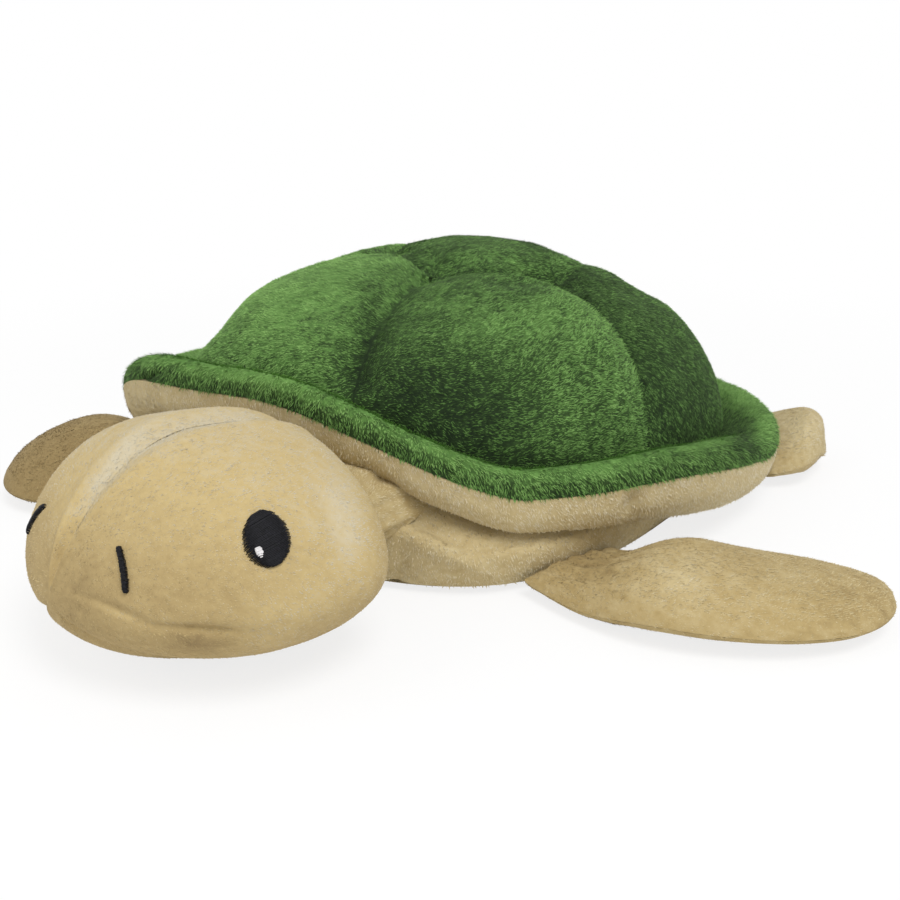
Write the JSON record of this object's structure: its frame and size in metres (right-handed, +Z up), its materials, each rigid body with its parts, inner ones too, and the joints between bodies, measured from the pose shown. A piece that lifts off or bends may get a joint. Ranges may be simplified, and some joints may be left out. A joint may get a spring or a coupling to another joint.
{
  "type": "plush turtle",
  "caption": "Stuffed sea turtle lying on its belly, with a quilted green shell, a padded rim, a sand coloured head and flippers.",
  "frame": {"origin": "on the floor under the middle of the shell", "axes": "+Z up, -Y towards the head, +X to the turtle's left"},
  "size_m": [0.314, 0.3041, 0.088],
  "materials": {
    "leaf_plush": "short pile plush",
    "deep_leaf_plush": "short pile plush",
    "sand_plush": "short pile plush",
    "pale_sand_plush": "short pile plush",
    "black_thread": "satin",
    "white_thread": "satin",
    "wadding": "matte"
  },
  "bodies": {
    "body": {"belly_panel": "sand_plush", "body_stuffing": "wadding", "front_left_shell_panel": "leaf_plush", "front_right_shell_panel": "leaf_plush", "left_body_panel": "sand_plush", "rear_left_shell_panel": "leaf_plush", "rear_right_shell_panel": "leaf_plush", "rear_shell_panel": "leaf_plush", "right_body_panel": "sand_plush", "rim_top": "leaf_plush", "rim_underside": "sand_plush", "rim_wadding": "wadding", "top_shell_panel": "deep_leaf_plush"},
    "neck": {"neck_cushion": "sand_plush"},
    "head": {"chin_panel": "pale_sand_plush", "head_stuffing": "wadding", "left_eye": "black_thread", "left_eye_glint": "white_thread", "left_head_panel": "pale_sand_plush", "left_nostril": "black_thread", "right_eye": "black_thread", "right_eye_glint": "white_thread", "right_head_panel": "pale_sand_plush", "right_nostril": "black_thread"},
    "left_front_flipper": {"left_front_flipper_lower_panel": "sand_plush", "left_front_flipper_stuffing": "wadding", "left_front_flipper_upper_panel": "sand_plush"},
    "right_front_flipper": {"right_front_flipper_lower_panel": "sand_plush", "right_front_flipper_stuffing": "wadding", "right_front_flipper_upper_panel": "sand_plush"},
    "left_hind_flipper": {"left_hind_flipper_lower_panel": "sand_plush", "left_hind_flipper_stuffing": "wadding", "left_hind_flipper_upper_panel": "sand_plush"},
    "right_hind_flipper": {"right_hind_flipper_lower_panel": "sand_plush", "right_hind_flipper_stuffing": "wadding", "right_hind_flipper_upper_panel": "sand_plush"}
  },
  "joints": [
    {"name": "head_turn", "type": "hinge", "parent": "body", "child": "neck", "pos_m": [0.02529, -0.1311, 0.02735], "axis": [0, 0, 1], "range_deg": [-2, 16]},
    {"name": "head_nod", "type": "hinge", "parent": "neck", "child": "head", "pos_m": [0.02529, -0.1311, 0.02735], "axis": [0.9751, -0.2215, 0], "range_deg": [-6, 10]},
    {"name": "left_front_flap", "type": "hinge", "parent": "body", "child": "left_front_flipper", "pos_m": [0.09178, -0.07463, 0.006], "axis": [-0.3469, -0.9379, 0], "range_deg": [-35, 35]},
    {"name": "right_front_flap", "type": "hinge", "parent": "body", "child": "right_front_flipper", "pos_m": [-0.08469, -0.06295, 0.006], "axis": [-0.202, 0.9794, 0], "range_deg": [-35, 20]},
    {"name": "left_hind_flap", "type": "hinge", "parent": "body", "child": "left_hind_flipper", "pos_m": [0.08242, 0.05355, 0.006], "axis": [0.6359, -0.7718, 0], "range_deg": [-30, 2]},
    {"name": "right_hind_flap", "type": "hinge", "parent": "body", "child": "right_hind_flipper", "pos_m": [-0.07345, 0.05338, 0.006], "axis": [0.5894, 0.8079, 0], "range_deg": [-30, 2]}
  ]
}
